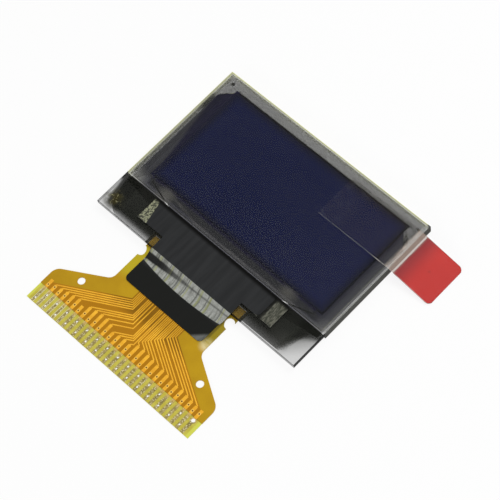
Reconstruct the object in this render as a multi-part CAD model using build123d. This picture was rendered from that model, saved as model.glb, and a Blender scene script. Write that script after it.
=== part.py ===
from build123d import *
import math
import os

# Small monochrome OLED display panel with a bent flexible tail.
# Millimetres. X runs along the panel's long side, Y away from the tail, Z out of the viewing face.
# The origin is the middle of the panel on its rear face, which lies on the table.

# Panel glasses
panel_width = 26.70
panel_length = 19.26
ledge_length = 4.30
substrate_thickness = 0.55
cap_thickness = 0.50
seal_gap = 0.06
edge_break = 0.05

# Recess in the rear glass, and what lies in it
recess_depth = 0.28
recess_wall = 1.30
recess_corner = 0.80
desiccant_thickness = 0.12
desiccant_margin = 1.10
desiccant_corner = 1.60

# Glue frame between the glasses
seal_inset = 0.15
seal_width = 0.95
seal_corner = 0.60

# Display area on the rear of the front glass
film_thickness = 0.03
cathode_side_margin = 1.825
cathode_top_margin = 1.28
cathode_end_margin = 1.53
cathode_ear_width = 0.36
cathode_ear_height = 0.18
emitter_margin = 0.20

# Metal leads that run from the display area to the chip
lead_gap = 0.10
row_lead_side_inset = 0.47
row_lead_chamfer_width = 1.15
row_lead_chamfer_height = 1.10
row_lead_neck_drop = 0.62
column_lead_inset = 0.655
column_lead_straight = 0.55
column_lead_end_width = 5.60
row_lead_end_width = 0.30
input_lead_width = 0.10
input_lead_overlap = 0.20
mark_radius = 0.18
small_mark_radius = 0.12
mark_inset = 0.85

# Driver chip on the rear of the ledge
chip_width = 6.76
chip_length = 0.86
chip_thickness = 0.28
chip_ledge_inset = 2.63
chip_edge_break = 0.03
chip_pad_spacing = 0.20
bond_film_thickness = 0.03
chip_bond_margin = 0.12

# Dark resin under the leads on the rear of the ledge
sealant_thickness = 0.15
sealant_gap = 0.07

# Polarizer, protective film and pull tab
polarizer_thickness = 0.20
polarizer_side_inset = 0.42
polarizer_top_inset = 0.30
protective_film_thickness = 0.06
protective_film_inset = 0.03
protective_film_corner = 0.25
pull_tab_width = 5.00
pull_tab_thickness = 0.05
pull_tab_inner_end = 9.10
pull_tab_centre_inset = 3.57
pull_tab_free_length = 5.55
pull_tab_bend_radius = 2.00
pull_tab_droop = 12.5
pull_tab_corner = 0.55
grip_length = 4.55
grip_thickness = 0.08

# Silver strip and black tape over the chip end
foil_width = 18.00
foil_length = 2.75
foil_ledge_inset = 1.40
foil_thickness = 0.03
tape_thickness = 0.09
tape_wide_width = 15.20
tape_wide_centre_x = -0.22
tape_wide_length = 2.75
tape_left_skew = 0.60
tape_ledge_width = 10.70
tape_ledge_centre_x = -0.15
tape_tail_width = 10.40
tape_tail_centre_x = -0.48
tape_reach = 3.98
tape_corner = 0.50
tape_edge_radius = 0.20
tape_foot_radius = 1.20
tape_slope = 42.0

# Flexible tail
base_thickness = 0.05
copper_thickness = 0.03
coverlay_thickness = 0.03
rear_film_thickness = 0.05
bond_centre_x = -0.24
bond_width = 12.40
bond_length = 1.23
bend_start_gap = 0.05
bend_length = 1.35
tail_centre_x = -0.51
neck_width = 12.08
tail_width = 22.20
tail_reach = 11.62
shoulder_start = 4.74
shoulder_angle = 30.0
shoulder_inner_radius = 0.90
shoulder_outer_radius = 1.10
notch_radius = 0.55
notch_reach = 0.72
coverlay_start_gap = 0.12
rear_film_start = 0.50
alignment_hole_spacing = 16.30
alignment_hole_radius = 0.40
alignment_hole_reach = 6.95

# Conductors
conductor_count = 30
blank_conductors = [1, 7, 30]
blank_stub_length = 1.04
pad_centre_x = -0.57
pad_spacing = 0.71
pad_width = 0.36
pad_length = 1.94
pad_end_gap = 0.04
track_width = 0.135
neck_spacing = 0.175
neck_field_centre_x = -0.44
neck_field_width = 6.00
bond_spacing = 0.33
fan_corner_reach = 5.02
fan_angle = 29.0
inner_fan_start = 3.55
inner_fan_length = 1.55
pad_hole_radius = 0.10
barrel_wall = 0.05
near_hole_reach = 0.56
far_hole_reach = 1.44
hole_sides = 12
stub_overlap = 0.15
track_field_clearance = 0.10
index_hole_radius = 0.21
index_ring_width = 0.12
index_hole_reach = 0.30

# One overrun for every cut
overrun = 0.50

# Heights and edges that the pieces share
substrate_low = cap_thickness + seal_gap
substrate_top = substrate_low + substrate_thickness
lead_low = substrate_low - film_thickness
bond_low = lead_low - bond_film_thickness
panel_right = panel_width / 2
panel_top = panel_length / 2
ledge_end = -panel_length / 2
cap_end = ledge_end + ledge_length
cap_length = panel_length - ledge_length
cap_centre_y = cap_end + cap_length / 2
cathode_width = panel_width - 2 * cathode_side_margin
cathode_top = panel_top - cathode_top_margin
cathode_low_edge = cap_end + cathode_end_margin
cathode_length = cathode_top - cathode_low_edge
cathode_centre_y = (cathode_top + cathode_low_edge) / 2
chip_y = ledge_end + chip_ledge_inset
film_top = substrate_top + polarizer_thickness + protective_film_thickness
bond_top_y = ledge_end + bond_length
tail_end = ledge_end - tail_reach
coverlay_end = tail_end + pad_length
flex_bond_height = bond_low - copper_thickness - base_thickness
flex_drop = flex_bond_height - rear_film_thickness
bend_start = ledge_end - bend_start_gap
tail_copper_top = rear_film_thickness + base_thickness + copper_thickness
tail_top = tail_copper_top + coverlay_thickness

# Outline of the resin's two ends, as shares of half the panel width and of the ledge length
sealant_right_shares = [(0.985, 0.98), (0.97, 0.87), (0.90, 0.70), (0.865, 0.40), (0.82, 0.08)]
sealant_left_shares = [(-0.80, 0.03), (-0.90, 0.16), (-0.955, 0.50), (-0.985, 0.98)]

# Tracks in the neck run in groups: how many each group has, and where it starts as a share of the field's width
neck_group_counts = [5, 3, 1, 1, 3, 2, 4, 4, 4]
neck_group_shares = [0.0, 0.195, 0.303, 0.362, 0.457, 0.567, 0.637, 0.763, 0.892]

# How far the fan's corners drop towards the pads, as shares of their distance from the field's side
fan_left_share = 0.95
fan_right_share = 1.20


def plate(outline, low, thickness):
    """A flat sheet with the given outline, from the height low upwards."""
    return extrude(Pos(0, 0, low) * outline, thickness)


def rectangle(left, right, low, high):
    """A rectangle between two X values and two Y values."""
    width = right - left
    length = high - low
    return Pos((left + right) / 2, (low + high) / 2) * Rectangle(width, length)


def polygon(points):
    """A flat face with straight edges."""
    return make_face(Polyline(*points, close=True))


def mirrored(points):
    """The outline points of the left side, from those of the right side."""
    return [(-x, y) for x, y in points]


def ribbon(points, width):
    """A flat track of constant width along straight runs, with mitred corners."""
    path = [Vector(x, y) for x, y in points]
    left = []
    right = []
    for index, point in enumerate(path):
        before = (point - path[index - 1]).normalized() if index > 0 else None
        after = (path[index + 1] - point).normalized() if index < len(path) - 1 else None
        before = before or after
        after = after or before
        along = (before + after).normalized()
        side = Vector(-along.Y, along.X) * (width / 2 / along.dot(before))
        left.append(point + side)
        right.append(point - side)
    return make_face(Polyline(*left, *reversed(right), close=True))


def offset_path(start, runs, offset):
    """Edges parallel to a path of straights and arcs; a run is (length, 0) or (radius, turn)."""
    edges = []
    point = Vector(*start)
    heading = 0
    for size, turn in runs:
        along = Vector(math.cos(math.radians(heading)), math.sin(math.radians(heading)))
        up = Vector(-along.Y, along.X)
        if turn == 0:
            edges.append(Line(point + up * offset, point + along * size + up * offset))
            point = point + along * size
        else:
            side = 1 if turn > 0 else -1
            centre = point + up * (size * side)
            edges.append(CenterArc(centre, size - offset * side, heading - 90 * side, turn))
            heading = heading + turn
            up = Vector(-math.sin(math.radians(heading)), math.cos(math.radians(heading)))
            point = centre - up * (size * side)
    return edges


def bent_sheet(plane, start, runs, low, high, reach):
    """A bent sheet between two offsets of one path, as wide as reach to both sides of the plane."""
    lower = offset_path(start, runs, low)
    upper = offset_path(start, runs, high)
    closing = [Line(lower[0] @ 0, upper[0] @ 0), Line(lower[-1] @ 1, upper[-1] @ 1)]
    section = make_face(lower + upper + closing)
    return extrude(plane * section, reach, both=True)


def prism(outline):
    """The space above and below an outline, to cut bent sheets with."""
    return extrude(outline, panel_length, both=True)


def make_substrate_glass():
    """Front glass, with its cut edges eased on the viewing side."""
    glass = plate(Rectangle(panel_width, panel_length), substrate_low, substrate_thickness)
    return chamfer(glass.faces().sort_by(Axis.Z)[-1].edges(), edge_break)


def make_cap_glass():
    """Rear glass with an etched recess that faces the display."""
    outline = Pos(0, cap_centre_y) * Rectangle(panel_width, cap_length)
    glass = plate(outline, 0, cap_thickness)
    glass = chamfer(glass.faces().sort_by(Axis.Z)[0].edges(), edge_break)
    hollow = RectangleRounded(panel_width - 2 * recess_wall, cap_length - 2 * recess_wall, recess_corner)
    return glass - plate(Pos(0, cap_centre_y) * hollow, cap_thickness - recess_depth, recess_depth)


def make_desiccant_sheet():
    """Thin sheet with cut corners on the floor of the recess."""
    margin = recess_wall + desiccant_margin
    outline = Pos(0, cap_centre_y) * Rectangle(panel_width - 2 * margin, cap_length - 2 * margin)
    outline = chamfer(outline.vertices(), desiccant_corner)
    return plate(outline, cap_thickness - recess_depth, desiccant_thickness)


def make_edge_seal(leads):
    """Glue frame between the glasses, which the leads and marks pass through."""
    outer_width = panel_width - 2 * seal_inset
    outer_length = cap_length - 2 * seal_inset
    frame = RectangleRounded(outer_width, outer_length, seal_corner)
    frame -= RectangleRounded(outer_width - 2 * seal_width, outer_length - 2 * seal_width, seal_corner)
    return plate(Pos(0, cap_centre_y) * frame, cap_thickness, seal_gap) - leads


def make_cathode_film():
    """Metal film behind the display area, with small ears at its upper corners."""
    outline = Pos(0, cathode_centre_y) * Rectangle(cathode_width, cathode_length)
    ear_y = cathode_top + cathode_ear_height / 2
    for side in (-1, 1):
        ear_x = side * (cathode_width / 2)
        outline += Pos(ear_x, ear_y) * Rectangle(cathode_ear_width, cathode_ear_height)
    return plate(outline, lead_low - film_thickness, film_thickness)


def make_emitter_layer():
    """Light-giving film between the front glass and the cathode."""
    width = cathode_width - 2 * emitter_margin
    length = cathode_length - 2 * emitter_margin
    return plate(Pos(0, cathode_centre_y) * Rectangle(width, length), lead_low, film_thickness)


def column_lead_points():
    """Right side of the lead fan below the display area, from the display to the chip."""
    top = cathode_low_edge
    corner = top - column_lead_straight
    end = chip_y + chip_length / 2 - input_lead_overlap
    half = cathode_width / 2 - column_lead_inset
    end_half = column_lead_end_width / 2
    return [(half, top), (half, corner), (end_half, end)]


def make_column_leads():
    """Film of column leads that narrows from the display area to the chip."""
    right = column_lead_points()
    outline = polygon(right + mirrored(reversed(right)))
    return plate(outline, lead_low, film_thickness)


def row_lead_points():
    """Outline of the right-hand row leads, down the side and across to the chip's end."""
    inner = cathode_width / 2 + lead_gap
    outer = panel_right - row_lead_side_inset
    chamfer_low = cathode_top - row_lead_chamfer_height - cathode_ear_width
    chamfer_top = chamfer_low + row_lead_chamfer_height
    top_right = outer - row_lead_chamfer_width
    display, corner, end = column_lead_points()
    chip_end = chip_width / 2
    neck_y = cap_end - row_lead_neck_drop
    return [
        (inner, cathode_top),
        (top_right, chamfer_top),
        (outer, chamfer_low),
        (outer, neck_y),
        (chip_end, chip_y - row_lead_end_width / 2),
        (end[0] + lead_gap, chip_y - row_lead_end_width / 2),
        (end[0] + lead_gap, end[1] - lead_gap),
        (corner[0] + lead_gap, corner[1] - lead_gap),
        (display[0] + lead_gap, cathode_low_edge - lead_gap),
        (inner, cathode_low_edge - lead_gap),
    ]


def make_row_leads(right_side):
    """Film of row leads at one side of the display area."""
    points = row_lead_points()
    outline = polygon(points if right_side else mirrored(points))
    return plate(outline, lead_low, film_thickness)


def make_input_leads():
    """Tracks on the glass from the flex bond to the chip."""
    chip_edge = chip_y - chip_length / 2
    tracks = []
    for index in range(conductor_count):
        place = index - (conductor_count - 1) / 2
        chip_x = place * chip_pad_spacing
        bond_x = bond_centre_x + place * bond_spacing
        path = [
            (chip_x, chip_edge + input_lead_overlap),
            (chip_x, chip_edge - input_lead_overlap),
            (bond_x, bond_top_y),
            (bond_x, ledge_end + lead_gap),
        ]
        tracks.append(plate(ribbon(path, input_lead_width), lead_low, film_thickness))
    return Compound(tracks)


def make_alignment_marks():
    """Two round marks near the upper corners of the display area."""
    mark_y = panel_top - mark_inset
    mark_x = panel_right - mark_inset
    left = plate(Pos(-mark_x, mark_y) * Circle(mark_radius), lead_low, film_thickness)
    right = plate(Pos(mark_x, mark_y) * Circle(small_mark_radius), lead_low, film_thickness)
    return Compound([left, right])


def make_chip_bond_film():
    """Conductive glue film between the chip and the leads."""
    width = chip_width + 2 * chip_bond_margin
    length = chip_length + 2 * chip_bond_margin
    return plate(Pos(0, chip_y) * Rectangle(width, length), bond_low, bond_film_thickness)


def make_driver_chip():
    """Long narrow chip with its sawn edges eased."""
    chip = plate(Pos(0, chip_y) * Rectangle(chip_width, chip_length), bond_low - chip_thickness, chip_thickness)
    return chamfer(chip.faces().sort_by(Axis.Z)[0].edges(), chip_edge_break)


def make_flex_bond_film():
    """Conductive glue film between the flex and the glass."""
    left = bond_centre_x - bond_width / 2
    right = bond_centre_x + bond_width / 2
    return plate(rectangle(left, right, ledge_end + lead_gap, bond_top_y), bond_low, bond_film_thickness)


def make_ledge_sealant(buried):
    """Dark resin spread over the leads and round the chip, with uneven ends."""
    def place(share):
        return (share[0] * panel_right, ledge_end + share[1] * ledge_length - sealant_gap * share[1])

    right = [place(share) for share in sealant_right_shares]
    left = [place(share) for share in sealant_left_shares]
    edges = [Spline(*right), Line(right[-1], left[0]), Spline(*left), Line(left[-1], right[0])]
    resin = plate(make_face(edges), lead_low - sealant_thickness, sealant_thickness)
    flex_left = bond_centre_x - bond_width / 2 - sealant_gap
    flex_right = bond_centre_x + bond_width / 2 + sealant_gap
    flex_window = rectangle(flex_left, flex_right, ledge_end - overrun, bond_top_y + sealant_gap)
    return resin - prism(flex_window) - buried


def polarizer_outline(margin):
    """Rectangle over the display that ends where the ledge begins, smaller all round by margin."""
    half = panel_right - polarizer_side_inset - margin
    return rectangle(-half, half, cap_end + margin, panel_top - polarizer_top_inset - margin)


def make_polarizer():
    """Dark plastic sheet on the viewing face."""
    return plate(polarizer_outline(0), substrate_top, polarizer_thickness)


def make_protective_film():
    """Clear peel-off film on the polarizer."""
    outline = polarizer_outline(protective_film_inset)
    outline = fillet(outline.vertices(), protective_film_corner)
    return plate(outline, substrate_top + polarizer_thickness, protective_film_thickness)


def pull_tab_runs():
    """Path of the tab: flat on the film, a soft bend past its edge and a straight droop."""
    edge_x = panel_right - polarizer_side_inset
    droop = math.radians(pull_tab_droop)
    bend_run = pull_tab_bend_radius * math.sin(droop)
    slope = (pull_tab_free_length - bend_run) / math.cos(droop)
    inner_x = panel_right - pull_tab_inner_end
    runs = [(edge_x - inner_x, 0), (pull_tab_bend_radius, -pull_tab_droop), (slope, 0)]
    return (inner_x, film_top), runs, edge_x + pull_tab_free_length


def make_pull_tab(length, low, high):
    """One layer of the tab, measured back from its free end, with rounded free corners."""
    start, runs, free_end = pull_tab_runs()
    sheet = bent_sheet(Plane.XZ, start, runs, low, high, panel_length)
    middle = panel_top - pull_tab_centre_inset
    half = pull_tab_width / 2
    outline = rectangle(free_end - length, free_end, middle - half, middle + half)
    outline = fillet(outline.vertices().sort_by(Axis.X)[-2:], pull_tab_corner)
    return sheet & prism(outline)


def make_foil_strip():
    """Silver strip across the ledge under the black tape."""
    low = ledge_end + foil_ledge_inset
    return plate(rectangle(-foil_width / 2, foil_width / 2, low, low + foil_length), substrate_top, foil_thickness)


def tape_runs():
    """Path of the tape: along the ledge, over its edge, down to the tail and along it."""
    slope = math.radians(tape_slope)
    drop = substrate_top - tail_top
    slope_drop = drop - (tape_edge_radius + tape_foot_radius) * (1 - math.cos(slope))
    return [
        (ledge_length, 0),
        (tape_edge_radius, -tape_slope),
        (slope_drop / math.sin(slope), 0),
        (tape_foot_radius, tape_slope),
        (tape_reach, 0),
    ]


def make_black_tape(foil):
    """T-shaped tape over the chip, down over the ledge's edge and onto the flex."""
    wide_top = ledge_end + foil_ledge_inset + tape_wide_length
    wide_low = ledge_end + foil_ledge_inset
    wide_left = tape_wide_centre_x - tape_wide_width / 2
    wide_right = tape_wide_centre_x + tape_wide_width / 2
    head = polygon([
        (wide_left, wide_low),
        (wide_right, wide_low),
        (wide_right, wide_top),
        (wide_left - tape_left_skew, wide_top),
    ])
    head = fillet(head.vertices().sort_by(Axis.X)[-2:], tape_corner)
    ledge_half = tape_ledge_width / 2
    tail_half = tape_tail_width / 2
    stem = polygon([
        (tape_ledge_centre_x - ledge_half, wide_low + tape_corner),
        (tape_ledge_centre_x - ledge_half, ledge_end),
        (tape_tail_centre_x - tail_half, bend_start - bend_length),
        (tape_tail_centre_x - tail_half, ledge_end - tape_reach),
        (tape_tail_centre_x + tail_half, ledge_end - tape_reach),
        (tape_tail_centre_x + tail_half, bend_start - bend_length),
        (tape_ledge_centre_x + ledge_half, ledge_end),
        (tape_ledge_centre_x + ledge_half, wide_low + tape_corner),
    ])
    stem = fillet(stem.vertices().sort_by(Axis.Y)[:2], tape_corner)
    sheet = bent_sheet(flex_plane(cap_end), (0, substrate_top), tape_runs(), 0, tape_thickness, panel_width)
    return (sheet & prism(head + stem)) - foil


def flex_plane(start_y):
    """Upright plane whose first axis runs towards the tail's end and whose second axis is up."""
    return Plane(origin=(0, start_y, 0), x_dir=(0, -1, 0), z_dir=(-1, 0, 0))


def flex_layer(low, high):
    """One layer of the flex, between two heights over the underside of its base film."""
    half_angle = 2 * math.atan(flex_drop / bend_length)
    radius = bend_length / 2 / math.sin(half_angle)
    turn = math.degrees(half_angle)
    runs = [
        (bond_top_y - bend_start, 0),
        (radius, -turn),
        (radius, turn),
        (bend_start - bend_length - tail_end, 0),
    ]
    return bent_sheet(flex_plane(bond_top_y), (0, flex_bond_height), runs, low, high, panel_width)


def flex_outline():
    """Plan of the flex: bond end, notches, neck, slanted shoulders and wide pad end."""
    notch_y = ledge_end - notch_reach
    neck_half = neck_width / 2
    tail_half = tail_width / 2
    shoulder_low = ledge_end - shoulder_start
    shoulder_drop = (tail_half - neck_half) * math.tan(math.radians(shoulder_angle))
    right = [
        (neck_half, notch_y),
        (neck_half, shoulder_low),
        (tail_half, shoulder_low - shoulder_drop),
        (tail_half, tail_end),
    ]
    body = polygon(right + mirrored(reversed(right)))
    inner = body.vertices().filter_by(lambda v: abs(v.Y - shoulder_low) < shoulder_drop / 4)
    body = fillet(inner, shoulder_inner_radius)
    outer = body.vertices().filter_by(lambda v: abs(v.Y - shoulder_low + shoulder_drop) < shoulder_drop / 10)
    body = fillet(outer, shoulder_outer_radius)
    body = Pos(tail_centre_x, 0) * body
    bond_half = bond_width / 2
    outline = body + rectangle(bond_centre_x - bond_half, bond_centre_x + bond_half, notch_y, bond_top_y)
    for side in (-1, 1):
        outline -= Pos(tail_centre_x + side * neck_half, notch_y) * Circle(notch_radius)
        hole_x = tail_centre_x + side * alignment_hole_spacing / 2
        outline -= Pos(hole_x, ledge_end - alignment_hole_reach) * Circle(alignment_hole_radius)
    return outline


def pad_x(index):
    """Middle of a pad."""
    return pad_centre_x + (index - (conductor_count - 1) / 2) * pad_spacing


def is_blank(index):
    """Whether a conductor ends at its stub, with no track."""
    return index + 1 in blank_conductors


def neck_places():
    """Middle of each track in the neck, by the conductor's index."""
    connected = [index for index in range(conductor_count) if not is_blank(index)]
    places = []
    for count, share in zip(neck_group_counts, neck_group_shares):
        start = neck_field_centre_x + (share - 1 / 2) * neck_field_width + track_width / 2
        places += [start + step * neck_spacing for step in range(count)]
    return dict(zip(connected, places))


def bond_x(index):
    """Middle of a track at the glass."""
    return bond_centre_x + (index - (conductor_count - 1) / 2) * bond_spacing


def fan_corner(index):
    """Where a track turns from the slanted fan into the neck; inner tracks turn nearer the pads."""
    x = neck_places()[index]
    if pad_x(index) < x:
        drop = (x - neck_field_centre_x + neck_field_width / 2) * fan_left_share
    else:
        drop = (neck_field_centre_x + neck_field_width / 2 - x) * fan_right_share
    return x, ledge_end - fan_corner_reach - drop


def stub_top_y(index):
    """Upper end of a wide stub, where its slanted track begins, if it has one."""
    if is_blank(index):
        return coverlay_end + blank_stub_length
    x, y = fan_corner(index)
    return y - abs(pad_x(index) - x) * math.tan(math.radians(fan_angle))


def pad_hole_place(index):
    """Centre of the plated hole in a pad; the holes stand in two staggered rows."""
    reach = near_hole_reach if index % 2 else far_hole_reach
    return (pad_x(index), coverlay_end - reach)


def index_hole_place():
    """Centre of the larger hole at the head of the last pad."""
    return (pad_x(conductor_count - 1), coverlay_end - index_hole_reach)


def front_track(index):
    """Plan of one conductor's front side: pad and stub, fan, neck and bond finger."""
    stub_top = stub_top_y(index)
    half = pad_width / 2
    outline = rectangle(pad_x(index) - half, pad_x(index) + half, tail_end + pad_end_gap, stub_top - stub_overlap / 2)
    if not is_blank(index):
        corner_x, corner_y = fan_corner(index)
        path = [
            (pad_x(index), stub_top - stub_overlap),
            (pad_x(index), stub_top),
            (corner_x, corner_y),
            (corner_x, ledge_end - inner_fan_start),
            (bond_x(index), ledge_end - inner_fan_start + inner_fan_length),
            (bond_x(index), bond_top_y - lead_gap),
        ]
        outline += ribbon(path, track_width)
    if index == conductor_count - 1:
        outline += Pos(*index_hole_place()) * Circle(index_hole_radius + index_ring_width)
    return outline


def rear_pad(index):
    """Plan of one conductor's rear side: a plain pad that ends at the rear film."""
    half = pad_width / 2
    outline = rectangle(pad_x(index) - half, pad_x(index) + half, tail_end + pad_end_gap, coverlay_end)
    if index == conductor_count - 1:
        outline += Pos(*index_hole_place()) * Circle(index_hole_radius + index_ring_width)
    return outline & rectangle(-panel_width, panel_width, tail_end, coverlay_end)


def plated_hole(index, wall):
    """Plan of one conductor's plated hole, widened by wall, drawn with a few flat sides."""
    if index == conductor_count - 1:
        return Pos(*index_hole_place()) * RegularPolygon(index_hole_radius + wall, hole_sides)
    return Pos(*pad_hole_place(index)) * RegularPolygon(pad_hole_radius + wall, hole_sides)


def make_conductor(index, copper_layer):
    """One copper conductor: its front track, its rear pad and the plated barrel between them."""
    copper = copper_layer & prism(front_track(index))
    copper += plate(rear_pad(index), rear_film_thickness - copper_thickness, copper_thickness)
    copper += plate(plated_hole(index, barrel_wall), rear_film_thickness, base_thickness)
    return copper - prism(plated_hole(index, 0))


def track_field():
    """Plan of the area that all the tracks take up, with a clearance round it."""
    track_half = track_width / 2 + track_field_clearance
    rise = track_half / math.cos(math.radians(fan_angle))
    inner_fan_y = ledge_end - inner_fan_start
    sides = []
    for index, side in ((0, -1), (conductor_count - 1, 1)):
        stub_x = pad_x(index) + side * (pad_width / 2 + track_field_clearance)
        stub_top = coverlay_end + blank_stub_length + track_field_clearance
        outermost = index - side
        corner_x, corner_y = fan_corner(outermost)
        sides.append([
            (stub_x, coverlay_end - overrun),
            (stub_x, stub_top),
            (pad_x(outermost), stub_top_y(outermost) + rise),
            (corner_x + side * track_half, corner_y + rise / 2),
            (corner_x + side * track_half, inner_fan_y),
            (bond_x(index) + side * track_half, inner_fan_y + inner_fan_length),
            (bond_x(index) + side * track_half, bond_top_y),
        ])
    return polygon(sides[1] + sides[0][::-1])


def make_flex_base(outline):
    """Base film of the flex, with holes for the plated barrels."""
    base = flex_layer(0, base_thickness) & prism(outline)
    return base - [prism(plated_hole(index, barrel_wall)) for index in range(conductor_count)]


def make_flex_coverlay(outline):
    """Amber film over the conductors, with one shallow pocket that takes them all."""
    window = rectangle(-panel_width, panel_width, coverlay_end, ledge_end - coverlay_start_gap)
    film = flex_layer(base_thickness, base_thickness + copper_thickness + coverlay_thickness)
    pocket = flex_layer(base_thickness, base_thickness + copper_thickness)
    return (film & prism(outline & window)) - (pocket & prism(track_field()))


def make_rear_coverlay(outline):
    """Film over the back of the flex, from under the ledge to the pads."""
    window = rectangle(-panel_width, panel_width, coverlay_end, ledge_end + rear_film_start)
    return flex_layer(-rear_film_thickness, 0) & prism(outline & window)


def make_parts():
    """Every piece of the module by its name."""
    parts = {}
    parts["substrate_glass"] = make_substrate_glass()
    parts["cap_glass"] = make_cap_glass()
    parts["desiccant_sheet"] = make_desiccant_sheet()
    parts["cathode_film"] = make_cathode_film()
    parts["emitter_layer"] = make_emitter_layer()
    parts["column_leads"] = make_column_leads()
    parts["row_leads_left"] = make_row_leads(False)
    parts["row_leads_right"] = make_row_leads(True)
    parts["input_leads"] = make_input_leads()
    parts["alignment_marks"] = make_alignment_marks()
    films = ["column_leads", "row_leads_left", "row_leads_right", "alignment_marks"]
    parts["edge_seal"] = make_edge_seal([parts[name] for name in films])
    parts["chip_bond_film"] = make_chip_bond_film()
    parts["driver_chip"] = make_driver_chip()
    parts["flex_bond_film"] = make_flex_bond_film()
    parts["ledge_sealant"] = make_ledge_sealant([parts["chip_bond_film"], parts["driver_chip"]])
    parts["polarizer"] = make_polarizer()
    parts["protective_film"] = make_protective_film()
    tab_length = pull_tab_runs()[2] - pull_tab_runs()[0][0]
    parts["pull_tab_tape"] = make_pull_tab(tab_length, 0, pull_tab_thickness)
    parts["pull_tab_grip"] = make_pull_tab(grip_length, -grip_thickness, 0)
    parts["foil_strip"] = make_foil_strip()
    parts["black_tape"] = make_black_tape(parts["foil_strip"])
    outline = flex_outline()
    copper_layer = flex_layer(base_thickness, base_thickness + copper_thickness)
    for index in range(conductor_count):
        parts[f"conductor_{index + 1:02d}"] = make_conductor(index, copper_layer)
    parts["flex_base"] = make_flex_base(outline)
    parts["flex_coverlay"] = make_flex_coverlay(outline)
    parts["rear_coverlay"] = make_rear_coverlay(outline)
    return parts


os.makedirs("parts", exist_ok=True)
for name, shape in make_parts().items():
    export_step(shape, f"parts/{name}.step")
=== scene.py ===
import math

import bpy
from mathutils import Matrix, Vector


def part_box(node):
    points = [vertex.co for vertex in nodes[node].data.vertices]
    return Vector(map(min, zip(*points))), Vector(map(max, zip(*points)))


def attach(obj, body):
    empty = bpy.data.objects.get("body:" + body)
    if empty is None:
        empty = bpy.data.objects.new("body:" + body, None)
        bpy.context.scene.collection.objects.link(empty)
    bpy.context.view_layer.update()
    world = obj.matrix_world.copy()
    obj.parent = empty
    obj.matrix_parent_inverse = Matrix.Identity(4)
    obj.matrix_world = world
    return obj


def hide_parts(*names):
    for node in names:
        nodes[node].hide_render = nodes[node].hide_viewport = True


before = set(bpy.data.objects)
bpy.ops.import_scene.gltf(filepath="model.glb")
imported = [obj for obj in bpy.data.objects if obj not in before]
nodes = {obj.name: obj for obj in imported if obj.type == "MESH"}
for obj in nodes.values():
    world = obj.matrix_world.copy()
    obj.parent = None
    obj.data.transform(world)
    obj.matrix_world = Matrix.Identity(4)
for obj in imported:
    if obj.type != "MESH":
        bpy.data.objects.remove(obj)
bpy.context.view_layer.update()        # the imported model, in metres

mm = 0.001
scene = bpy.context.scene
print("frame loaded:", len(nodes), "nodes")


# camera

cameraView = {
    "azimuth": 56.40,       # degrees round the object
    "elevation": 63.44,     # degrees above the table
    "roll": -13.91,         # turn of the picture
    "distance": 196.95,     # mm from the object's origin
    "slideAcross": -1.26,   # mm, along the picture's width
    "slideUp": -3.114,      # mm, along the picture's height
    "lens": 145.09,         # mm on a 36 mm sensor
}


def placeCamera():
    azimuth, elevation, roll = (math.radians(cameraView[key]) for key in ("azimuth", "elevation", "roll"))
    flat, rise = math.cos(elevation), math.sin(elevation)
    back = Vector((math.sin(azimuth) * flat, -math.cos(azimuth) * flat, rise))
    level = Vector((math.cos(azimuth), math.sin(azimuth), 0))
    upright = back.cross(level)
    across = level * math.cos(roll) + upright * math.sin(roll)
    up = upright * math.cos(roll) - level * math.sin(roll)
    centre = back * cameraView["distance"] + across * cameraView["slideAcross"] + up * cameraView["slideUp"]
    data = bpy.data.cameras.new("camera")
    data.lens = cameraView["lens"]
    data.clip_start = 0.01
    camera = bpy.data.objects.new("camera", data)
    scene.collection.objects.link(camera)
    turn = Matrix((across, up, back)).transposed().to_4x4()
    camera.matrix_world = Matrix.Translation(centre * mm) @ turn
    scene.camera = camera


placeCamera()
scene.view_settings.view_transform = "Standard"
print("camera placed")


# shader helpers

def wire(tree, value, socket):
    if isinstance(value, Field):
        value = value.socket
    if isinstance(value, bpy.types.NodeSocket):
        tree.links.new(value, socket)
    else:
        socket.default_value = value


def addNode(tree, kind, inputs, **settings):
    node = tree.nodes.new("ShaderNode" + kind)
    for key, value in settings.items():
        setattr(node, key, value)
    for key, value in inputs.items():
        wire(tree, value, node.inputs[key])
    return node


def addField(tree, kind, inputs, output=0, **settings):
    return Field(tree, addNode(tree, kind, inputs, **settings).outputs[output])


class Field:
    # a shader value that is worked with like a number; a mask is a field from 0 to 1

    def __init__(self, tree, socket):
        self.tree = tree
        self.socket = socket

    def calculate(self, operation, first, second=0.0):
        return addField(self.tree, "Math", {0: first, 1: second}, operation=operation)

    def __add__(self, other):
        return self.calculate("ADD", self, other)

    def __sub__(self, other):
        return self.calculate("SUBTRACT", self, other)

    def __rsub__(self, other):
        return self.calculate("SUBTRACT", other, self)

    def __mul__(self, other):
        return self.calculate("MULTIPLY", self, other)

    def __truediv__(self, other):
        return self.calculate("DIVIDE", self, other)

    def __abs__(self):
        return self.calculate("ABSOLUTE", self)

    def larger(self, other):
        return self.calculate("MAXIMUM", self, other)

    def ramp(self, low, high):
        # a smooth step from 0 at low to 1 at high, which may be the smaller number
        ends = {"Value": self, "From Min": low, "From Max": high}
        return addField(self.tree, "MapRange", ends, interpolation_type="SMOOTHSTEP")

    def above(self, level, soft):
        return self.ramp(level - soft, level + soft)

    def below(self, level, soft):
        return self.ramp(level + soft, level - soft)

    def band(self, start, end, soft):
        inputs = {"Value": self, "Start": start, "End": end, "Soft": soft}
        return addField(self.tree, "Group", inputs, "Mask", node_tree=bandGroup)

    def evenly(self, first, last, low=0.0, high=1.0):
        # a straight run from first at low to last at high
        ends = {"Value": self, "From Min": low, "From Max": high, "To Min": first, "To Max": last}
        return addField(self.tree, "MapRange", ends)


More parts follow.
